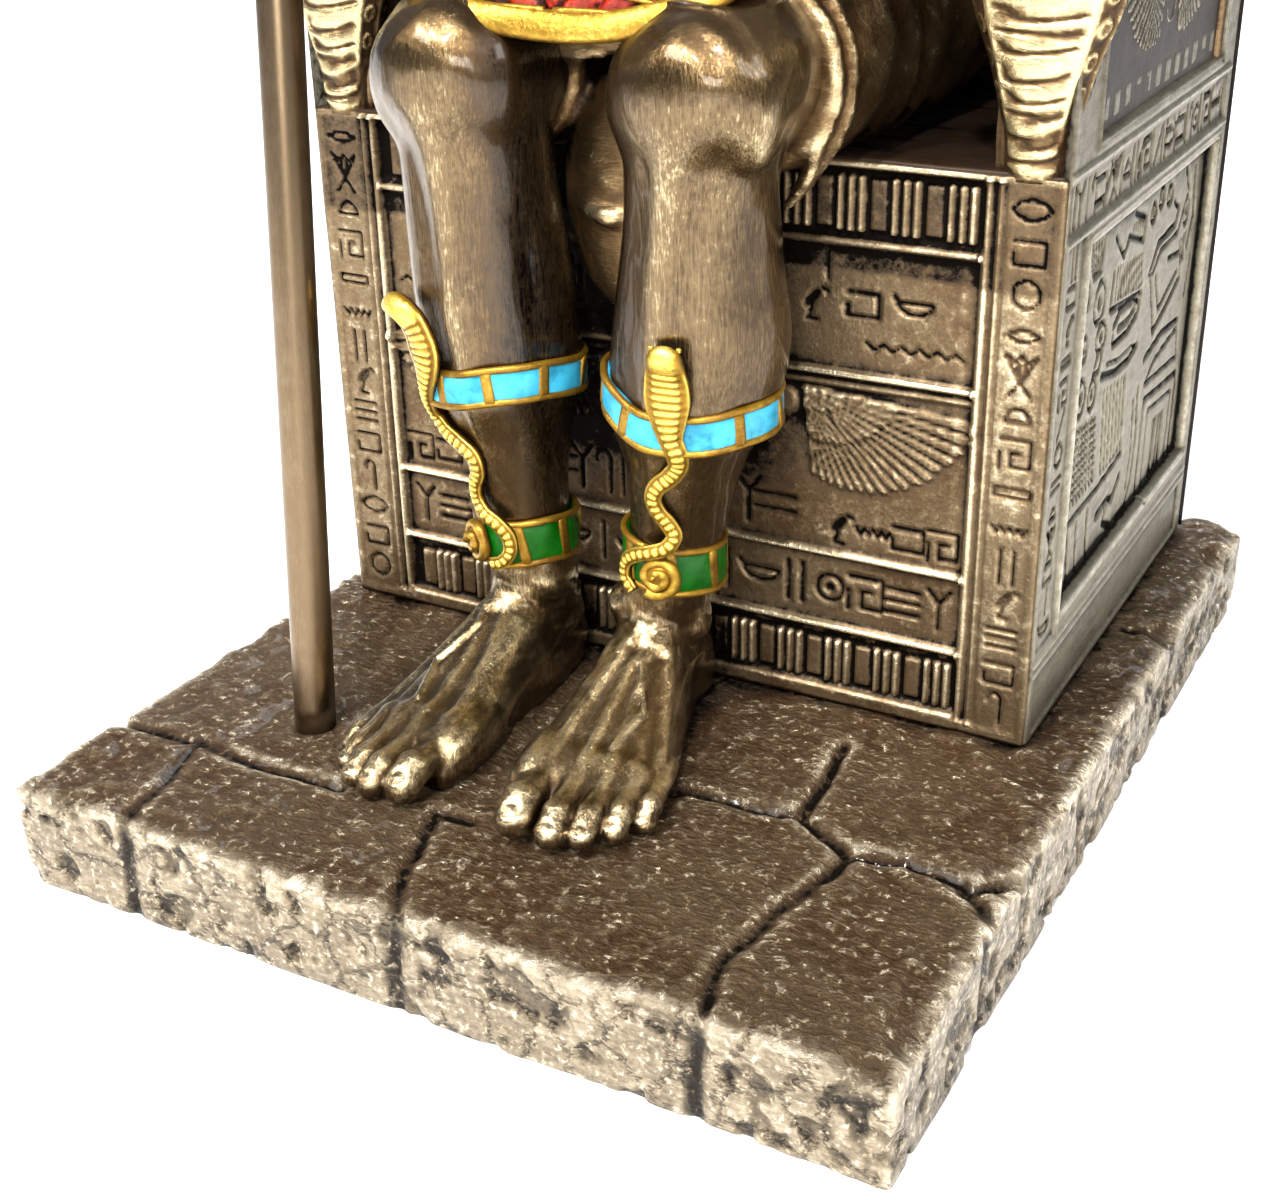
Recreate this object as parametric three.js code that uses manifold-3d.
// A seated jackal-headed figure on a block throne with cobra armrests, on a flagstone slab, holding a staff.
// Millimetres. x runs to the viewer's right, y to the back and z up; the origin is under the slab's middle.
import * as THREE from "three";
import { mergeVertices } from "three/addons/utils/BufferGeometryUtils.js";
import Module from "manifold-3d";

const wasm = await Module();
wasm.setup();

// Driving dimensions. Heights of the throne, figure and staff are taken from the slab's top, depths from
// the throne's front face and widths from the throne's middle.
const slab = { width: 114, depth: 142.5, thick: 14, edge: 1.6, joint: 1.5, points: 32 };
const throne = { x: -1.7, y: -8.5, width: 100, depth: 73, seat: 69, armTop: 97, arm: 9.5, backTop: 150, back: 9 };
const front = { strip: 9.5, frame: 1.2, topBand: [60.8, 67.4], bottomBand: [2.2, 8.6] };
const panel = { low: 11.4, high: 59.4, depth: 1.2, lines: [20.2, 43.5] };
const side = { strip: 8.9, panel: [9.9, 70.4, 14, 59.4], band: 65.2, depth: 1.3 };
const armPanel = { from: 14.5, to: 62, low: 73, high: 93 };
const cut = 0.55; // depth of a carved stroke
const gap = 0.3; // between pieces that don't rest on each other
const staff = { foot: [-31.2, -34.3], lean: [-0.0267, 0.1198], radius: 2.6, top: 212, grip: 121 };
const body = {
  rightKnee: -16.2, leftKnee: 15, knee: 77, rightAnkle: -13.3, leftAnkle: 7.6, ankle: 20.5,
  hip: [15, 46, 81], waist: 106, shoulder: [29.5, 50, 152], head: [0, 46, 191], earTip: 232,
};
const calfBand = { right: 43, left: 42, height: 4, rise: 0.8 };
const anklet = { right: 21.7, left: 22.3, height: 5.4, rise: 0.9 };
const foot = { length: 45, rightHeel: -14.2, leftHeel: 5.5, heelY: -1.2, rightTurn: -2, leftTurn: 8 };

const vec = (x, y, z) => new THREE.Vector3(x, y, z);
const rad = THREE.MathUtils.degToRad;

// Turns a closed geometry into a solid that can be joined and cut.
function solid(geometry) {
  const bare = geometry.clone();
  for (const name of Object.keys(bare.attributes)) if (name !== "position") bare.deleteAttribute(name);
  const merged = mergeVertices(bare, 1e-4);
  const triVerts = new Uint32Array(merged.index.array);
  const vertProperties = new Float32Array(merged.attributes.position.array);
  const made = new wasm.Manifold(new wasm.Mesh({ numProp: 3, vertProperties, triVerts }));
  if (made.volume() > 0) return made;
  triVerts.reverse();
  return new wasm.Manifold(new wasm.Mesh({ numProp: 3, vertProperties, triVerts }));
}

const join = (solids) => solids.reduce((sum, one) => sum.add(one));
const carve = (from, cutters) => from.subtract(join(cutters));

function block(x, y, z) {
  const geometry = new THREE.BoxGeometry(x[1] - x[0], y[1] - y[0], z[1] - z[0]);
  return solid(geometry.translate((x[0] + x[1]) / 2, (y[0] + y[1]) / 2, (z[0] + z[1]) / 2));
}

function ball(centre, radii, sides = 12, rows = 8) {
  const geometry = new THREE.SphereGeometry(1, sides, rows).rotateX(Math.PI / 2);
  return solid(geometry.scale(...radii).translate(...centre));
}

// A skin through rings with the same number of points, closed by a fan at each end.
function loft(rings) {
  const count = rings[0].length;
  const points = rings.flat();
  const index = [];
  for (let r = 0; r + 1 < rings.length; r++)
    for (let i = 0; i < count; i++) {
      const [a, b] = [r * count + i, r * count + ((i + 1) % count)];
      index.push(a, b, b + count, a, b + count, a + count);
    }
  for (const [ring, start, flip] of [[rings[0], 0, 1], [rings.at(-1), (rings.length - 1) * count, 0]]) {
    const middle = ring.reduce((sum, p) => sum.add(p), vec(0, 0, 0)).divideScalar(count);
    const centre = points.push(middle) - 1;
    for (let i = 0; i < count; i++) {
      const [a, b] = [start + i, start + ((i + 1) % count)];
      index.push(...(flip ? [centre, b, a] : [centre, a, b]));
    }
  }
  const geometry = new THREE.BufferGeometry().setFromPoints(points);
  return solid(geometry.setIndex(index));
}

// A limb through stations [x, y, z, half width, half depth]; the half depth points along front.
function limb(stations, front, sides = 12) {
  const at = stations.map(([x, y, z]) => vec(x, y, z));
  const rings = stations.map(([, , , a, b], i) => {
    const along = at[Math.min(i + 1, at.length - 1)].clone().sub(at[Math.max(i - 1, 0)]).normalize();
    const across = front.clone().cross(along).normalize();
    const ahead = along.clone().cross(across);
    return Array.from({ length: sides }, (_, k) => {
      const turn = ((k + 0.5) / sides) * 2 * Math.PI;
      return at[i].clone().addScaledVector(across, a * Math.cos(turn)).addScaledVector(ahead, b * Math.sin(turn));
    });
  });
  return loft(rings);
}
const upright = vec(0, -1, 0); // front of a limb that stands
const lying = vec(0, 0, 1); // front of a limb that lies

// A level limb: rings stay horizontal, or rise to the back by a slope, so that its foot is flat.
function column(stations, sides = 12, slope = 0) {
  return loft(
    stations.map(([x, y, z, a, b]) =>
      Array.from({ length: sides }, (_, k) => {
        const turn = ((k + 0.5) / sides) * 2 * Math.PI;
        return vec(x + a * Math.cos(turn), y + b * Math.sin(turn), z + slope * b * Math.sin(turn));
      }),
    ),
  );
}

// Faces that carry relief: origin at their lower middle or front edge, u across, v up, and out to the viewer.
const half = throne.width / 2;
const faces = {
  front: { origin: vec(0, 0, 0), u: vec(1, 0, 0), out: vec(0, -1, 0) },
  right: { origin: vec(half, 0, 0), u: vec(0, 1, 0), out: vec(1, 0, 0) },
  left: { origin: vec(-half, throne.depth, 0), u: vec(0, -1, 0), out: vec(-1, 0, 0) },
  rear: { origin: vec(0, throne.depth, 0), u: vec(-1, 0, 0), out: vec(0, 1, 0) },
};

const onFacePoint = (face, u, v, rise) =>
  face.origin.clone().addScaledVector(face.u, u).addScaledVector(face.out, rise).add(vec(0, 0, v));

function onFace(face, geometry, u, v, rise, turn = 0) {
  const place = new THREE.Matrix4().makeBasis(face.u, vec(0, 0, 1), face.out).setPosition(face.origin);
  return solid(geometry.rotateZ(turn).translate(u, v, rise).applyMatrix4(place));
}

// A bar w by h from depth low to height high of the face, and an oval prism likewise.
const bar = (face, u, v, w, h, low, high, turn) =>
  onFace(face, new THREE.BoxGeometry(w, h, high - low), u, v, (low + high) / 2, turn);
const oval = (face, u, v, w, h, low, high, sides = 6, turn = 0) => {
  const prism = new THREE.CylinderGeometry(0.5, 0.5, high - low, sides).rotateX(Math.PI / 2);
  return onFace(face, prism.scale(w, h, 1), u, v, (low + high) / 2, turn);
};
const area = (face, [u0, u1], [v0, v1], low, high) =>
  bar(face, (u0 + u1) / 2, (v0 + v1) / 2, u1 - u0, v1 - v0, low, high);

// Shallow strokes that stand where an inscription would; none of them is a letter. s is the sign's width.
const strokes = {
  lens: (f, u, v, s, d) => [oval(f, u, v, s, s * 0.5, d - cut, 1, 4)],
  ring: (f, u, v, s, d) => [oval(f, u, v, s * 0.7, s * 0.7, d - cut, 1, 5)],
  wedge: (f, u, v, s, d) => [oval(f, u, v, s * 0.8, s * 0.8, d - cut, 1, 3, Math.PI / 2)],
  pair: (f, u, v, s, d) => [-1, 1].map((k) => bar(f, u, v + k * s * 0.2, s * 0.85, s * 0.18, d - cut, 1)),
  bar: (f, u, v, s, d) => [bar(f, u, v, s * 0.9, s * 0.24, d - cut, 1)],
  post: (f, u, v, s, d) => [bar(f, u, v, s * 0.24, s * 0.9, d - cut, 1)],
  slant: (f, u, v, s, d) => [bar(f, u, v, s * 0.24, s, d - cut, 1, -0.6)],
};

// A row of strokes from one point to another; the order of the strokes runs round the list.
function strokeRow(face, from, to, count, size, depth, order) {
  return Array.from({ length: count }, (_, i) => {
    const t = (i + 0.5) / count;
    const [u, v] = [from[0] + (to[0] - from[0]) * t, from[1] + (to[1] - from[1]) * t];
    return strokes[order[i % order.length]](face, u, v, size, depth);
  }).flat();
}

// A spread wing: one pleated skin of feathers that fan out from a shoulder, each with its own reach.
function wing(face, [u, v], way, angles, reaches, feathers, low, high) {
  const count = feathers * 2;
  const rings = Array.from({ length: count + 1 }, (_, i) => {
    const turn = rad(THREE.MathUtils.lerp(angles[0], angles[1], i / count));
    const reach = THREE.MathUtils.lerp(reaches[0], reaches[1], i / count) - (i % 2 ? 0 : 1);
    const top = high - (i % 2 ? 0 : 0.5);
    const at = (r, rise) => onFacePoint(face, u + way * r * Math.cos(turn), v + r * Math.sin(turn), rise);
    return [at(2, low), at(reach, low), at(reach, top), at(2, top)];
  });
  return loft(rings);
}

// Ribs in groups of three between wider plain blocks, as in a palace front.
function ribs(face, reach, [low, high], depth, pitch = 11.4) {
  const from = -Math.floor(reach / pitch) - 0.5;
  return Array.from({ length: -2 * from + 1 }, (_, i) => (from + i) * pitch).flatMap((u) => [
    ...[-2, 0, 2].map((k) => area(face, [u + k - 0.6, u + k + 0.6], [low, high], -depth - 0.2, 0)),
    area(face, [u + 3.9, u + 7.5], [low, high], -depth - 0.2, -0.4),
  ]).filter((rib) => Math.max(Math.abs(rib.boundingBox().min[0]), Math.abs(rib.boundingBox().max[0])) < reach);
}

// The throne's armrests end in cobras that rear over the front corners, with ridges across the belly.
function cobra(way) {
  const x = way * 45.4;
  const stations = [
    [x, 3.6, throne.seat - 0.5, 3.9, 3.8], [x, 3.4, 74, 4.2, 4], [x + way * 0.3, 3, 80, 5.6, 4],
    [x + way * 0.6, 2.6, 86, 7.8, 3.8], [x + way * 0.6, 2.4, 91, 8.6, 3.5], [x + way * 0.4, 2.2, 95.5, 7.2, 3.4],
    [x, 1.6, 99.5, 4.4, 3.6], [x, 0, 103.6, 3.4, 4.2], [x, -2, 106.2, 1.4, 2],
  ];
  const ridges = Array.from({ length: 4 }, (_, i) => {
    const z = 73 + i * 5.6;
    const w = 2.8 + 1.4 * Math.sin((i / 4) * Math.PI);
    return block([x - w, x + w], [-1.6, 1.2], [z, z + 3]);
  });
  return [limb(stations, upright, 8), ...ridges];
}

function makeThrone() {
  const { depth: D, seat, armTop, arm, backTop, back } = throne;
  const inner = half - front.strip;
  const core = join([
    block([-half, half], [0, D], [0, seat]),
    block([-half, half], [D - back, D], [seat - 1, backTop - 6]),
    block([-half - 0.6, half + 0.6], [D - 0.2, D + 1.8], [0, backTop - 6]),
    ...[-1, 1].map((s) => block(s > 0 ? [half - arm, half] : [-half, arm - half], [2, D - 1], [seat - 1, armTop])),
  ]);
  // A coved cornice crowns the back.
  const cove = new THREE.Shape([[0, -8], [1.4, -7.4], [1.4, -6], [0.4, -5.6], [0.9, -3], [3, -0.8], [3, 0]]
    .map(([y, z]) => new THREE.Vector2(y, z)));
  const corniceOutline = new THREE.Shape([
    new THREE.Vector2(-back, -8), ...cove.getPoints().map((p) => new THREE.Vector2(p.x, p.y)),
    new THREE.Vector2(-back - 1.5, 0), new THREE.Vector2(-back - 1.5, -1.2), new THREE.Vector2(-back, -3),
  ]);
  const cornice = new THREE.ExtrudeGeometry(corniceOutline, { depth: throne.width + 3, bevelEnabled: false })
    .applyMatrix4(new THREE.Matrix4().makeBasis(vec(0, 1, 0), vec(0, 0, 1), vec(1, 0, 0)))
    .translate(-half - 1.5, D, backTop);

  const sunk = [
    area(faces.front, [-inner, inner], [panel.low, panel.high], -panel.depth, 1),
    area(faces.front, [-inner, inner], front.topBand, -1, 1),
    area(faces.front, [-inner, inner], front.bottomBand, -1, 1),
  ];
  const raised = [
    ...ribs(faces.front, inner, front.topBand, 1),
    ...ribs(faces.front, inner, front.bottomBand, 1),
    ...panel.lines.map((z) => area(faces.front, [-inner - 0.2, inner + 0.2], [z - 0.4, z + 0.4], -2, -0.5)),
  ];
  const signs = [];
  for (const s of [-1, 1]) {
    const [u0, u1] = [s * (inner + front.frame), s * (half - 1.5)];
    for (const u of [u0, u1]) sunk.push(bar(faces.front, u, seat / 2, 0.5, seat - 3, -0.5, 1));
    const order = ["lens", "bar", "ring", "wedge", "post", "pair", "slant"];
    signs.push(...strokeRow(faces.front, [(u0 + u1) / 2, seat - 3.2], [(u0 + u1) / 2, 2.5], 8, 4.4, 0, order));
    raised.push(wing(faces.front, [s * 19, 42.2], s, [-6, -78], [22, 12], 5, -2, -0.2));
  }
  const sink = -panel.depth;
  signs.push(...strokeRow(faces.front, [-37, 51], [37, 51], 5, 5, sink, ["slant", "ring", "bar", "post"]));
  signs.push(...strokeRow(faces.front, [-37, 25.4], [37, 25.4], 5, 4, sink, ["post", "bar", "wedge"]));
  signs.push(...strokeRow(faces.front, [-38, 15.8], [38, 15.8], 6, 3.6, sink, ["slant", "post", "lens"]));

  for (const [name, way] of [["right", 1], ["left", -1]]) {
    const f = faces[name];
    const at = (y) => (way > 0 ? y : D - y); // distance along the face from its own start
    const span = (a, b) => [at(a), at(b)].sort((p, q) => p - q);
    const [y0, y1, z0, z1] = side.panel;
    sunk.push(area(f, span(y0, y1), [z0, z1], -side.depth, 1));
    sunk.push(area(f, span(side.strip - 0.3, side.strip + 0.3), [10, 60.5], -0.5, 1));
    for (const z of [11.6, 61.2]) sunk.push(area(f, span(0.8, D), [z - 0.3, z + 0.3], -0.6, 1));
    sunk.push(area(f, span(armPanel.from, armPanel.to), [armPanel.low, armPanel.high], -side.depth, 1));
    const low = -side.depth - 0.3;
    const motif = (y, z, w, h, turn = 0) => raised.push(bar(f, at(y), z, w, h, low, -0.4, way * turn));
    for (const s of [-1, 1]) raised.push(wing(f, [at(38 + s * 4), 90], way * s, [-8, -80], [18, 13], 4, low, -0.2));
    for (const k of [0, 1, 2]) motif(39 + 6.5 * k, 44, 2, 17, -0.32 + 0.3 * k); // leaning stems
    signs.push(...strokeRow(f, [at(3), side.band], [at(71), side.band], 6, 3.8, 0, ["post", "slant", "bar"]));
    if (way < 0) continue; // the left side is plainer
    signs.push(...strokeRow(f, [at(4.6), 58.5], [at(4.6), 13], 5, 3.8, 0, ["wedge", "bar", "post"]));
    raised.push(oval(f, at(28), 38, 7, 9, low, -0.4, 6));
    for (const k of [0, 1, 2]) motif(15 + 3.2 * k, 25, 1.8, 16); // reed bundle
    for (const k of [0, 1]) motif(57 + 7 * k, 27, 1.8, 22); // door posts under a lintel
    motif(60.5, 39.4, 9, 1.8);
    motif(40, 20, 13, 1.8, 0.5);
  }
  sunk.push(area(faces.rear, [-36, 36], [12, 132], 1, 3));
  const strips = [-24, -12, 0, 12, 24].map((u) => area(faces.rear, [u - 1, u + 1], [12, 132], 0.5, 1.5));

  let made = core.add(solid(cornice));
  made = carve(made, sunk);
  made = join([made, ...raised, ...strips]);
  made = carve(made, signs);
  made = join([made, ...cobra(-1), ...cobra(1)]);
  return made.subtract(block([-60, 60], [-10, D + 10], [-5, 0]));
}

// A rough slab of laid flagstones: its rim is uneven, its upper edge worn and its joints cut as grooves.
function makeSlab() {
  const { width: W, depth: L, thick: T, edge, joint, points } = slab;
  const unevenness = (i, k) => 0.5 + 0.5 * Math.sin(i * 2.4 + k * 1.7) * Math.cos(i * 1.1 - k);
  const ring = (z, inset, rough, k) =>
    Array.from({ length: points }, (_, i) => {
      const t = (i / points) * 4;
      const [edgeIndex, along] = [Math.floor(t), t % 1];
      const [a, b] = [[-1, -1], [1, -1], [1, 1], [-1, 1]].slice(edgeIndex).concat([[-1, -1]]);
      const wear = inset + rough * unevenness(i, k);
      const x = THREE.MathUtils.lerp(a[0], b[0], along) * (W / 2 - wear);
      const y = THREE.MathUtils.lerp(a[1], b[1], along) * (L / 2 - wear);
      return vec(x, y, z);
    });
  const stone = loft([ring(0, 0, 0, 0), ring(T * 0.4, 0, 1, 1), ring(T - edge, 0.2, 1.2, 2), ring(T, edge, 1.4, 3)]);
  // Joints run on the top from one point to the next, in a V, and those that reach the rim go down it.
  const v = (ax, ay, bx, by, size = joint) => {
    const length = Math.hypot(bx - ax, by - ay);
    const groove = new THREE.BoxGeometry(length, size * 1.2, size * 1.2).rotateX(Math.PI / 4);
    groove.rotateZ(Math.atan2(by - ay, bx - ax)).translate((ax + bx) / 2, (ay + by) / 2, T + 0.1);
    return solid(groove);
  };
  const down = (x, y) => solid(new THREE.BoxGeometry(joint, joint, T + 2).rotateZ(Math.PI / 4).translate(x, y, T / 2));
  const joints = [
    v(-58, -33, -27, -42), v(-27, -42, -27, -58), v(-27, -42, 2, -47), v(2, -47, 2, -73), v(2, -47, 30, -38),
    v(30, -38, 33, -73), v(30, -38, 58, -36), v(38, -9, 30, -38), v(-27, -42, -24, -9), v(52, -9, 58, -12),
    v(-58, 6, -51, 6), v(50, 30, 58, 30), v(-58, 42, -51, 42), v(0, 66, 0, 72),
    down(-27, -71.6), down(2, -71.6), down(33, -71.6), down(57.3, -36), down(57.3, 30), down(-57.3, -33),
    down(-57.3, 42), down(0, 71.6),
  ];
  return carve(stone, joints);
}

// Lower legs: level sections [height, half width, half depth, y]; x runs from the ankle to the knee.
const legSections = [
  [10, 5.2, 6.4, -8.8], [20, 5.3, 5.9, -10.3], [30, 6.1, 6.7, -10.8], [35, 6.9, 7.4, -11.3], [40, 8.6, 8.8, -11.8],
  [53, 9.8, 9.8, -12.3], [66, 8.3, 8.8, -12.9], [77, 9.6, 10.4, -13.6], [84, 9, 9.4, -12.6],
  [88, 6, 6, -11.5],
];
const kneeOf = (s) => (s < 0 ? body.rightKnee : body.leftKnee);
const ankleOf = (s) => (s < 0 ? body.rightAnkle : body.leftAnkle);
const legX = (s, z) => {
  const t = THREE.MathUtils.clamp((z - body.ankle) / (body.knee - body.ankle), 0, 1.1);
  return THREE.MathUtils.lerp(ankleOf(s), kneeOf(s), t);
};
// The leg's section at a height, between the listed ones.
function legAt(s, z) {
  const i = Math.max(1, legSections.findIndex(([h]) => h >= z));
  const [a, b] = [legSections[i - 1], legSections[i]];
  const t = (z - a[0]) / (b[0] - a[0]);
  const [, rx, ry, y] = a.map((value, k) => THREE.MathUtils.lerp(value, b[k], t));
  return { x: legX(s, z), y, rx, ry };
}
// A point off the leg's skin at an angle from the front and a height.
function offLeg(s, angle, z, lift) {
  const { x, y, rx, ry } = legAt(s, z);
  return [x + (rx + lift) * Math.sin(rad(angle)), y - (ry + lift) * Math.cos(rad(angle)), z];
}

// The shin, with steps in it for the calf band and the anklet.
function makeShin(s) {
  const name = s < 0 ? "right" : "left";
  const bands = [[calfBand[name], calfBand], [anklet[name], anklet]].map(([z, { height, rise }]) => {
    return { low: z - height / 2, high: z + height / 2, rise };
  });
  const bare = legSections.map(([z]) => [z, 0]).filter(([z]) => !bands.some((b) => z > b.low - 1 && z < b.high + 1));
  const steps = bands.flatMap(({ low, high, rise }) => [[low, 0], [low, rise], [high, rise], [high, 0]]);
  const stations = [...bare, ...steps].sort(([a, , i = 0], [b, , j = 0]) => a - b || i - j);
  return column(stations.map(([z, rise]) => {
    const { x, y, rx, ry } = legAt(s, z);
    return [x, y, z, rx + rise, ry + rise];
  }), 10);
}

// The cobra on a shin: a flat hood under the head, a winding body and a coil lying on the anklet.
function shinCobra(s) {
  const start = s < 0 ? -52 : 16;
  const path = [
    [55, 0, 2.2, 1, 1.2], [53, 0, 1.5, 1.7, 1.2], [49, 0, 0.9, 2.6, 1], [44, 4, 1.3, 1.5, 1], [38.4, 20, 0.7, 1.1, 1],
    [34, -4, 0.6, 1, 1], [28.6, 18, 0.7, 1, 1], [24.6, -16, 1.3, 1, 1],
  ];
  const stations = path.map(([z, turn, lift, a, b]) => {
    const [x, y, height] = offLeg(s, start - s * turn, z, lift);
    return [x, y, height, a, b];
  });
  const out = vec(Math.sin(rad(start)), -Math.cos(rad(start)), 0);
  const coil = new THREE.CylinderGeometry(1.2, 2.4, 1.6, 7).rotateX(Math.PI / 2).rotateZ(rad(start));
  const seat = offLeg(s, start, 22.6, 1.2);
  return [limb(stations, out, 5), solid(coil.translate(...seat))];
}

// A bare foot with its toes, pointing along -y from the heel and turned about it.
function makeFoot(s) {
  const heelX = s < 0 ? foot.rightHeel : foot.leftHeel;
  const turn = rad(s < 0 ? foot.rightTurn : foot.leftTurn);
  const at = (along, across, z) => [
    heelX + along * Math.sin(turn) + s * across * Math.cos(turn),
    foot.heelY - along * Math.cos(turn) + s * across * Math.sin(turn),
    z,
  ];
  const sole = [[0.3, 2.6, 5], [2, 4.4, 9], [8, 5.2, 14.6], [15, 5.6, 13.2], [22, 6.8, 9.8], [30, 8.6, 6.6], [37, 8.2, 4]];
  const arch = sole.map(([along, w, h]) => [...at(along, 0.2, h / 2 - 0.6), w, h / 2 + 0.6]);
  // Each toe: how far out from the middle, where it starts and ends, its radius.
  const toes = [[-5.9, 34, foot.length, 2.3], [-2.2, 34, foot.length - 0.6, 1.5], [0.9, 34, foot.length - 2.2, 1.45],
    [3.8, 32, foot.length - 4.8, 1.4], [6.6, 29, foot.length - 8.2, 1.35]];
  const bend = s < 0 ? 2.2 : 0;
  const made = toes.map(([across, from, to, r]) =>
    limb([[...at(from, across, 2.4), r, 2.2], [...at(to, across + bend, 1.5), r * 0.85, 1.5]], lying, 5));
  return [limb(arch, lying, 8), ...made];
}

function makeArm(s) {
  const [sx, sy, sz] = body.shoulder;
  const holds = s < 0;
  const elbow = holds ? [-40, 35, 105.5] : [42, 43, 105.5];
  const wrist = holds ? [-36.6, -8.5, 119] : [27.5, 9, 100];
  const between = (a, b, t) => a.map((value, i) => THREE.MathUtils.lerp(value, b[i], t));
  const shoulder = [s * sx, sy, sz];
  // Stations along the arm; the steps in them are the armlet and the wristband.
  const upper = [[-0.14, 4.4, 4.6], [-0.02, 7.8, 8.2], [0.2, 8, 8.6], [0.47, 6.6, 7.3], [0.47, 7.5, 8.2], [0.56, 7.2, 7.9],
    [0.56, 6, 6.7], [1, 4.5, 4.9], [1.08, 2.6, 2.8]];
  const lower = [[-0.08, 3, 3.2], [0.2, 5.3, 5.4], [0.84, 3.4, 3.2], [0.84, 4.1, 3.9], [0.95, 4, 3.8], [0.95, 3.2, 2.9],
    [1.06, 3.1, 2.7]];
  const upperArm = limb(upper.map(([t, a, b]) => [...between(shoulder, elbow, t), a, b]), upright, 8);
  const forearm = limb(lower.map(([t, a, b]) => [...between(elbow, wrist, t), a, b]), lying, 8);
  return [upperArm, forearm, ...(holds ? grip() : restingHand(wrist))];
}

// Where the staff's middle line is at a height.
const staffAt = (z) => [staff.foot[0] + staff.lean[0] * z, staff.foot[1] + staff.lean[1] * z, z];

// The right fist: a palm behind the staff, four fingers closed round it and the thumb across them.
function grip() {
  const [x, y, z] = staffAt(staff.grip);
  const palm = limb([[x - 2, y + 13, z - 2.6, 3, 2.6], [x - 0.8, y + 6, z - 1, 4, 5.4], [x, y + 0.5, z - 0.6, 3.6, 5]],
    lying, 6);
  const knuckles = Array.from({ length: 9 }, (_, k) => {
    const r = k === 0 || k === 8 ? 3.9 : 4.7 + 0.7 * (k % 2);
    return [x, y, z - 6.4 + 1.5 * k, r, r + 0.4];
  });
  const thumb = limb([[x + 3, y + 6, z + 3, 1.9, 1.9], [x + 4.8, y - 2, z + 5, 1.8, 1.7], [x + 0.6, y - 6, z + 6, 1.1, 1.1]],
    lying, 5);
  return [palm, column(knuckles, 8), thumb];
}

// The left hand, laid flat on the thigh.
function restingHand([x, y, z]) {
  const palm = limb([[x, y + 1, z - 0.4, 3.2, 2.7], [x - 1.6, y - 4, z - 2, 4.4, 2.6], [x - 4.2, y - 12, z - 4.8, 5, 1.9]],
    lying, 8);
  const fingers = [-1.5, -0.5, 0.5, 1.5].map((k) => {
    const reach = 9 - Math.abs(k + 0.4) * 1.3;
    const [fx, fy, fz] = [x - 4 + k * 2.4, y - 10.6 - k * 0.8, z - 4.6];
    return limb([[fx, fy, fz, 1.2, 1.8], [fx - 0.22 * reach, fy - reach * 0.55, fz - 0.8, 1.2, 1.6],
      [fx - 0.36 * reach, fy - reach, fz - 2.2, 0.9, 1]], lying, 4);
  });
  const thumb = limb([[x - 3, y - 2, z - 2.4, 1.8, 1.8], [x - 7.4, y - 6, z - 3.8, 1.7, 1.7], [x - 9.6, y - 10.4, z - 5, 0.9, 1]],
    lying, 4);
  return [palm, ...fingers, thumb];
}

// The trunk, with steps in it for the belt and the broad collar.
function makeTorso() {
  const torso = [[80, 48, 21.5, 14.5], [97.6, 49, 18, 12.2], [97.6, 49, 19.6, 13.6], [103.4, 49.2, 18.6, 12.8],
    [103.4, 49.2, 17, 11.2], [117, 49.5, 18.6, 12], [133, 48.5, 24, 13.8], [145, 48.8, 27, 14.2],
    [145, 48.8, 28, 14.6], [151, 49.2, 28.2, 12.6], [159, 51, 20, 10.4], [164, 51, 11, 9], [164, 51, 9, 8], [180, 48.5, 8, 8]];
  return column(torso.map(([z, y, a, b]) => [0, y, z, a, b]), 12);
}

// A jackal's head: long muzzle, tall ears, and a headcloth that falls to the chest and back.
function makeHead() {
  const [x, y, z] = body.head;
  const skull = limb([[x, y + 10, z, 8, 8], [x, y - 2, z, 10, 10], [x, y - 10, z - 2, 7.4, 7.6],
    [x, y - 18, z - 4.8, 4.8, 5], [x, y - 27, z - 6.8, 3.6, 3.7], [x, y - 33, z - 7.8, 2.3, 2.4]], lying, 8);
  const brows = [-1, 1].map((s) => ball([s * 4.8, y - 10, z + 3], [2.2, 3.2, 1.7], 5, 3));
  const ears = [-1, 1].map((s) =>
    limb([[s * 6.2, y - 1, z + 7, 4, 3], [s * 7.2, y, z + 15, 4.6, 2.8], [s * 8.6, y + 1, z + 26, 3.8, 2.2],
      [s * 10.4, y + 2, body.earTip, 0.6, 0.5]], upright, 6));
  const hollows = [-1, 1].map((s) =>
    limb([[s * 6.8, y - 4.4, z + 12, 2, 1.6], [s * 7.6, y - 3.4, z + 18, 2.4, 1.8], [s * 9.4, y - 1, z + 33, 0.6, 0.6]],
      upright, 4));
  const cloth = column([[0, 57, 152, 15, 4.5], [0, 56, 162, 17.4, 6.6], [0, 54.4, 173, 17.2, 9.4], [0, 51.6, 186, 15, 12],
    [0, 49.4, 197, 12.2, 12.2], [0, 48, 203.6, 6, 7]], 10);
  const lappets = [-1, 1].map((s) =>
    limb([[s * 12, 46, 180, 5, 4.5], [s * 12.8, 39, 163, 5.3, 2.8], [s * 12.2, 33.8, 148, 4.8, 2.3],
      [s * 12, 32.6, 139, 4.5, 2.3]], upright, 5));
  return { adds: [skull, ...brows, cloth, ...lappets, ...ears], cuts: hollows };
}

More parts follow.
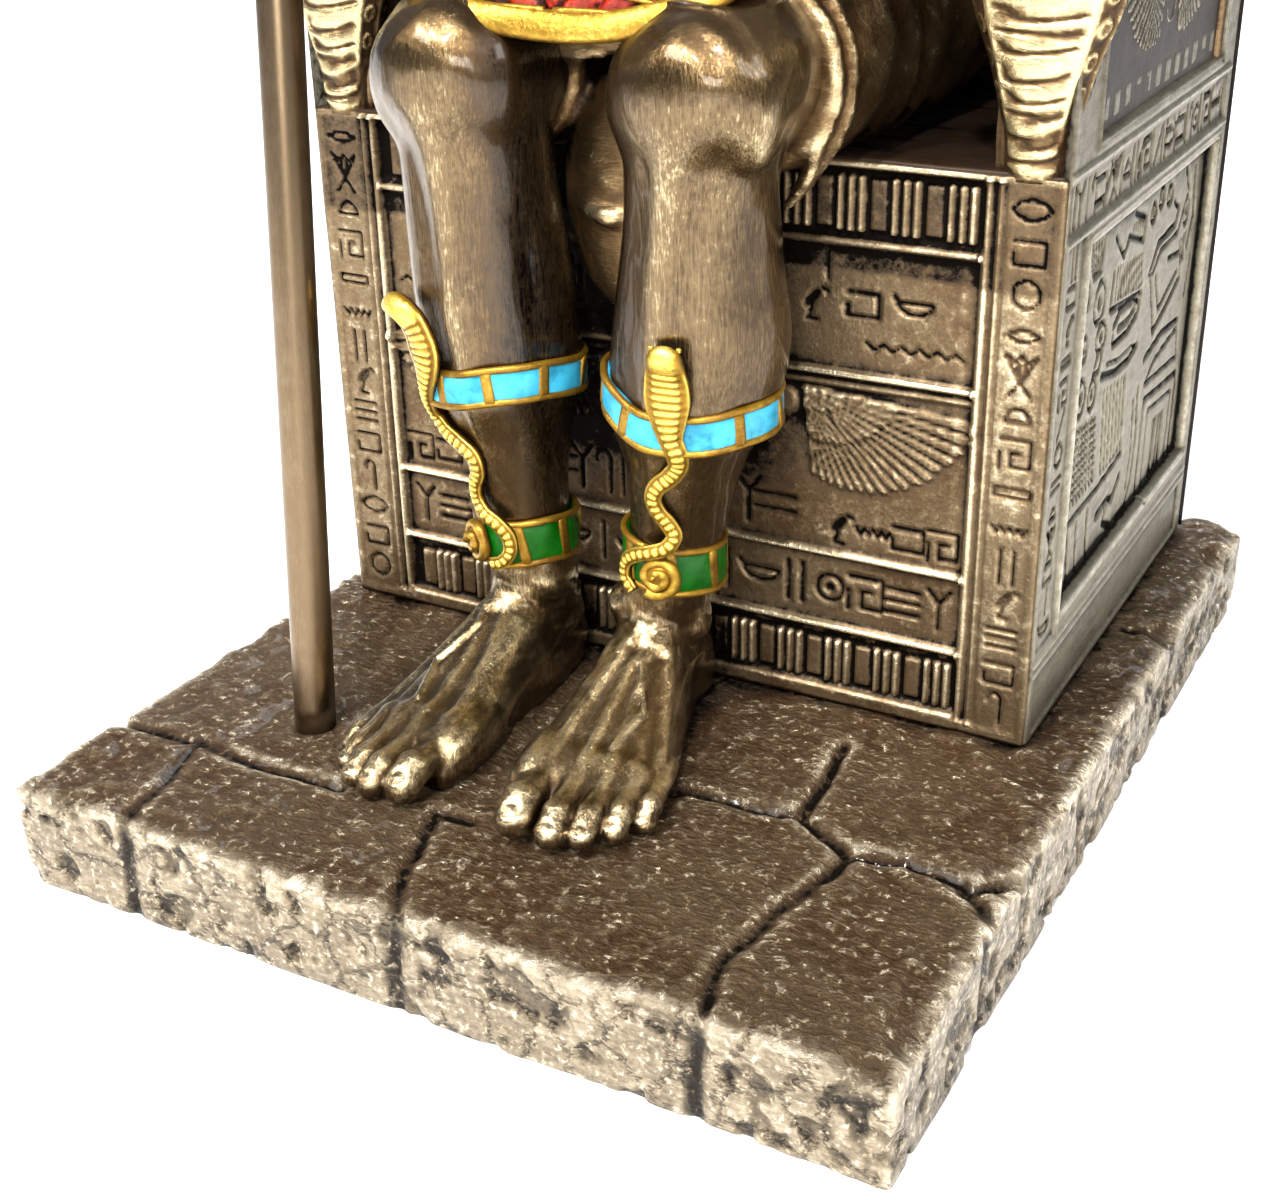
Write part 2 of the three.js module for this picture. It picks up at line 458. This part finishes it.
// The kilt wraps each thigh, sags between them, hangs in a lobe between the calves and is cut to a hem point.
function makeKilt() {
  const sleeves = [-1, 1].flatMap((s) => {
    const knee = kneeOf(s);
    const hx = s * body.hip[0];
    const at = (t) => THREE.MathUtils.lerp(knee, hx, t);
    const sleeve = limb([[at(0) + s * 0.4, -7.2, 78.2, 11.4, 11.4], [at(0.2) + s * 0.8, 3, 79, 12.8, 12.2],
      [at(0.6) + s * 1.6, 21, 80.4, 15, 13.4], [hx, 50, 82, 13.4, 13.4]], lying, 10);
    const hem = limb([[at(0) + s * 7.6, -6.4, 75, 3.4, 3], [at(0) + s * 5.6, -6, 68.5, 2.2, 2.2],
      [at(0) + s * 4.4, -5.4, 62.5, 0.5, 0.5]], upright, 5);
    return [sleeve, hem];
  });
  const sag = limb([[0, -8, 77, 6, 6], [0, 4, 79.4, 8, 7.5], [0, 46, 82, 9, 10]], lying, 6);
  const lobe = ball([-0.4, -5, 64.4], [8.6, 3.7, 14.6], 8, 5);
  return [...sleeves, sag, lobe];
}

// The stiff apron: a plate from the belt over the lap to the knees, wider and rounded at its lower end.
function makeApron() {
  const stations = [[38, 101.6, 8], [10, 94.6, 13.2], [-8, 91.6, 17.4], [-13, 90, 18.4], [-17, 87, 15.6], [-20.4, 83, 7]];
  return loft(stations.map(([y, z, w]) => {
    const at = (k, drop) => vec(k * w - 1.2, y + drop / 2, z - drop - 1.6 * (k * w / 18) ** 2);
    return [at(-1, 0), at(0, 0), at(1, 0), at(1, 2.6), at(0, 2.6), at(-1, 2.6)];
  }));
}

function makeFigure() {
  const legs = [-1, 1].flatMap((s) => [makeShin(s), ...makeFoot(s), ...shinCobra(s)]);
  const head = makeHead();
  let made = join([...legs, ...makeKilt(), makeApron(), makeTorso(), ...head.adds, ...makeArm(-1), ...makeArm(1)]);
  made = carve(made, head.cuts);
  // It sits on the seat and stands on the slab, clear of the throne's front and back, and the fist clears the staff.
  const seat = block([-60, 60], [-gap, 90], [-10, throne.seat]);
  const ground = block([-90, 90], [-90, 90], [-10, 0]);
  const back = block([-60, 60], [throne.depth - throne.back - gap, 90], [throne.seat - 5, throne.backTop + 1]);
  return carve(made, [seat, ground, back, rod((staff.radius + gap) / Math.cos(Math.PI / 8), staff.grip - 12, staff.grip + 14, 8)]);
}

const rod = (radius, low, high, sides = 10) =>
  column([low, high].map((z) => [...staffAt(z), radius, radius]), sides);

// The staff: a plain rod with two collars and a slender animal-like head at its top.
function makeStaff() {
  const { radius: r, top } = staff;
  const collars = [top - 22, top - 12].map((z) => column([[...staffAt(z), r + 1, r + 1], [...staffAt(z + 2.4), r + 1, r + 1]], 8));
  const [x, y] = staffAt(top);
  const outline = new THREE.Shape([[2.6, -14], [2.6, -2], [4.2, 4], [3.6, 9.6], [2, 9.8], [1, 5.4], [-2, 5.6], [-9, 1.4],
    [-12.4, -1.6], [-12, -3.4], [-8, -2.8], [-2.8, -2.2], [-2.6, -14]].map(([a, b]) => new THREE.Vector2(a, b)));
  const head = new THREE.ExtrudeGeometry(outline, { depth: 4, bevelEnabled: false }).translate(0, 0, -2);
  head.applyMatrix4(new THREE.Matrix4().makeBasis(vec(0, 1, 0), vec(0, 0, 1), vec(1, 0, 0))).translate(x, y, top);
  return join([rod(r, 0, top - 4), ...collars, solid(head)]);
}

function meshOf(name, made, color, roughness, metalness) {
  const { vertProperties, triVerts, numProp } = made.getMesh();
  const position = new Float32Array((vertProperties.length / numProp) * 3);
  for (let i = 0; i < position.length / 3; i++)
    position.set(vertProperties.subarray(i * numProp, i * numProp + 3), i * 3);
  const geometry = new THREE.BufferGeometry();
  geometry.setAttribute("position", new THREE.BufferAttribute(position, 3));
  geometry.setIndex(new THREE.BufferAttribute(triVerts, 1));
  geometry.computeVertexNormals();
  const mesh = new THREE.Mesh(geometry, new THREE.MeshStandardMaterial({ color, roughness, metalness }));
  mesh.name = name;
  return mesh;
}

const statue = new THREE.Group();
statue.add(meshOf("plinth", makeSlab(), 0x6b5f50, 0.55, 0.6));
const onSlab = new THREE.Group();
onSlab.position.set(throne.x, throne.y, slab.thick);
onSlab.add(meshOf("throne", makeThrone(), 0x84745c, 0.42, 0.75));
onSlab.add(meshOf("figure", makeFigure(), 0x6e5a41, 0.38, 0.75));
onSlab.add(meshOf("staff", makeStaff(), 0x7b6854, 0.3, 0.85));
statue.add(onSlab);

export default statue;
